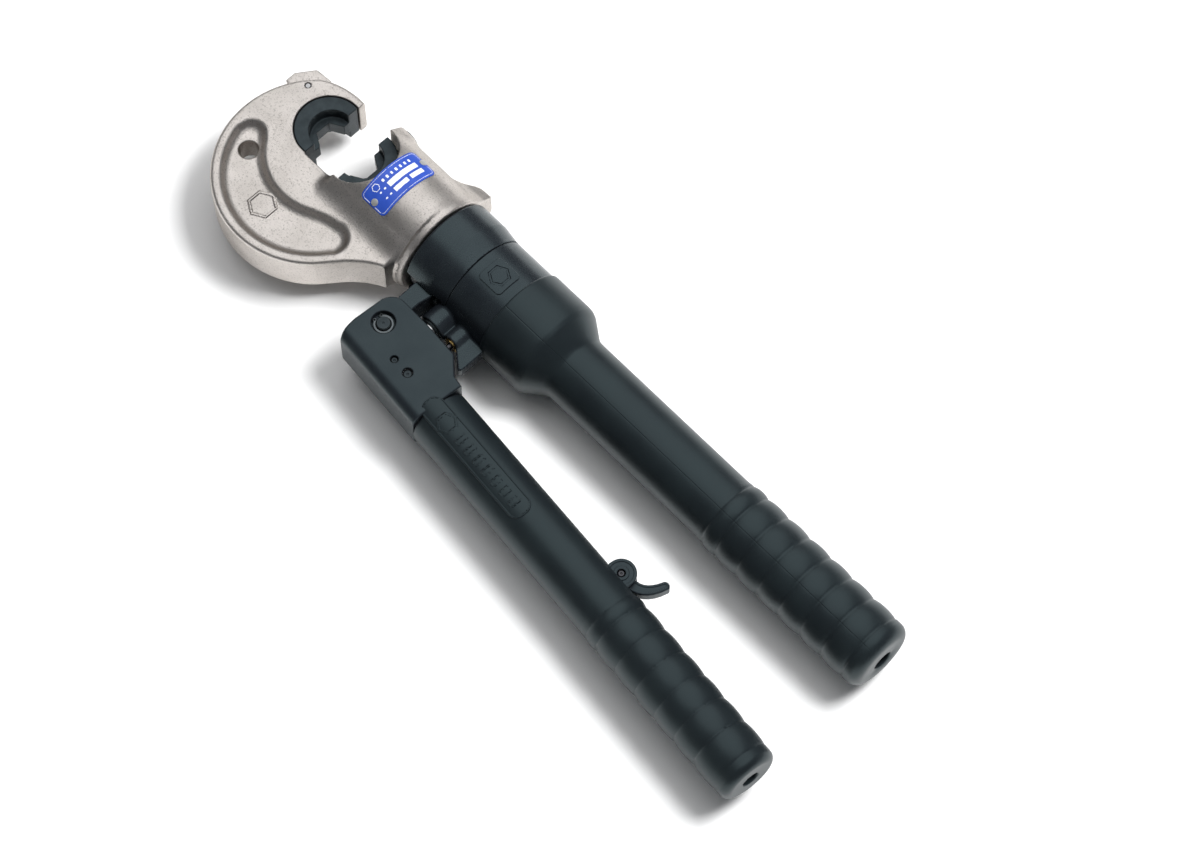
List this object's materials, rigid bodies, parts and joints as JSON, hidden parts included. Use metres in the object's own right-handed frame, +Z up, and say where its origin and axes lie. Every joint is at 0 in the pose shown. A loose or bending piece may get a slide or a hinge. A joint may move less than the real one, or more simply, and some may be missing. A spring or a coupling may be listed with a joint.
{
  "type": "hydraulic crimping tool",
  "caption": "Hand-pumped hydraulic crimping tool: open C head with half-moon dies, swivelling on a pump body with a fixed grip, a pumping lever and a release trigger.",
  "frame": {"origin": "centre of the bounding box's bottom face, under the middle of the tool as it lies on its side", "axes": "+X along the main axis from the handle butt to the C head, +Y from the fixed handle to the pumping lever, +Z up, normal to the C plate"},
  "size_m": [0.4732, 0.1506, 0.062],
  "materials": {
    "nickel": "shot-blasted, nickel plated, satin",
    "plate_enamel": "enamelled plate, gloss",
    "blued_steel": "blued, satin",
    "steel": "turned, zinc plated",
    "ground_steel": "ground and hard-chromed",
    "spring_steel": "drawn wire",
    "seal_rubber": "nitrile, matt",
    "grip_rubber": "moulded, satin",
    "black_body": "black satin coating over alloy",
    "brass": "turned"
  },
  "bodies": {
    "root": {"pump_block": "black_body", "front_collar": "black_body", "swivel_seal": "seal_rubber", "swivel_wire": "spring_steel", "handle_tube": "steel", "oil_bladder": "seal_rubber", "main_grip": "grip_rubber", "reservoir_plug": "blued_steel", "suction_ball": "ground_steel", "suction_spring": "spring_steel", "suction_screen": "brass", "delivery_ball": "ground_steel", "delivery_spring": "spring_steel", "delivery_plug": "blued_steel", "relief_ball": "ground_steel", "relief_spring": "spring_steel", "relief_screw": "brass", "plunger_gland": "blued_steel", "release_seat": "brass"},
    "head": {"head_frame": "nickel", "rating_plate": "plate_enamel", "plate_rivet_upper": "steel", "plate_rivet_lower": "steel", "upper_die": "blued_steel", "upper_pin_spring": "spring_steel", "upper_pin_keeper": "steel", "lower_button_spring": "spring_steel", "ram_return_spring": "spring_steel"},
    "ram": {"ram": "ground_steel", "ram_seal": "seal_rubber", "lower_die": "blued_steel"},
    "upper_pin": {"upper_die_pin": "steel"},
    "lower_button": {"lower_die_button": "blued_steel"},
    "lever": {"lever_block": "black_body", "pivot_pin": "blued_steel", "pivot_circlip_upper": "blued_steel", "pivot_circlip_lower": "blued_steel", "drive_roller": "ground_steel", "drive_pin": "steel", "lever_tube": "steel", "lever_grip": "grip_rubber", "lever_end_plug": "blued_steel", "tube_pin": "blued_steel", "crank_pin": "blued_steel", "trigger_bracket": "black_body", "trigger_pin": "steel", "rod_spring": "spring_steel"},
    "plunger": {"pump_plunger": "ground_steel"},
    "trigger": {"release_trigger": "black_body"},
    "rod": {"release_rod": "steel"},
    "crank": {"release_crank": "blued_steel"},
    "stem": {"release_stem": "steel"}
  },
  "joints": [
    {"name": "head_swivel", "type": "hinge", "parent": "root", "child": "head", "pos_m": [0.1002, -0.03806, 0.031], "axis": [1, 0, 0], "range_deg": [-90, 90]},
    {"name": "ram_slide", "type": "slide", "parent": "head", "child": "ram", "axis": [1, 0, 0], "range_m": [0, 0.024], "stiffness_N_per_m": 1500, "springref_m": -0.003, "deforming": ["ram_return_spring"]},
    {"name": "upper_pin_slide", "type": "slide", "parent": "head", "child": "upper_pin", "axis": [-0.8189, 0.5739, 0], "range_m": [0, 0.0014], "stiffness_N_per_m": 1200, "springref_m": -0.001, "deforming": ["upper_pin_spring"]},
    {"name": "lower_button_slide", "type": "slide", "parent": "head", "child": "lower_button", "axis": [0, 1, 0], "range_m": [0, 0.0012], "stiffness_N_per_m": 1200, "springref_m": -0.001, "deforming": ["lower_button_spring"]},
    {"name": "lever_swing", "type": "hinge", "parent": "root", "child": "lever", "pos_m": [0.0834, 0.02204, 0.031], "axis": [0, 0, -1], "range_deg": [-4, 40]},
    {"name": "plunger_slide", "type": "slide", "parent": "root", "child": "plunger", "axis": [0, 1, 0], "range_m": [-0.0011, 0.0106]},
    {"name": "release_trigger", "type": "hinge", "parent": "lever", "child": "trigger", "pos_m": [-0.10788, 0.02811, 0.031], "axis": [0, 0, -1], "range_deg": [0, 12], "stiffness_Nm_per_rad": 0.6, "springref_deg": -8.59},
    {"name": "rod_slide", "type": "slide", "parent": "lever", "child": "rod", "axis": [0.996, -0.0898, 0], "range_m": [0, 0.00198], "deforming": ["rod_spring"]},
    {"name": "crank_swing", "type": "hinge", "parent": "lever", "child": "crank", "pos_m": [0.06303, 0.03278, 0.031], "axis": [0, 0, 1], "range_deg": [0, 11]},
    {"name": "stem_slide", "type": "slide", "parent": "root", "child": "stem", "axis": [0, -1, 0], "range_m": [0, 0.0021]}
  ],
  "couplings": [
    {"joint": "plunger_slide", "follows": "lever_swing", "m_per_rad": 0.015},
    {"joint": "rod_slide", "follows": "release_trigger", "m_per_rad": 0.0094},
    {"joint": "crank_swing", "follows": "release_trigger", "ratio": 0.887},
    {"joint": "stem_slide", "follows": "release_trigger", "m_per_rad": 0.0095}
  ]
}
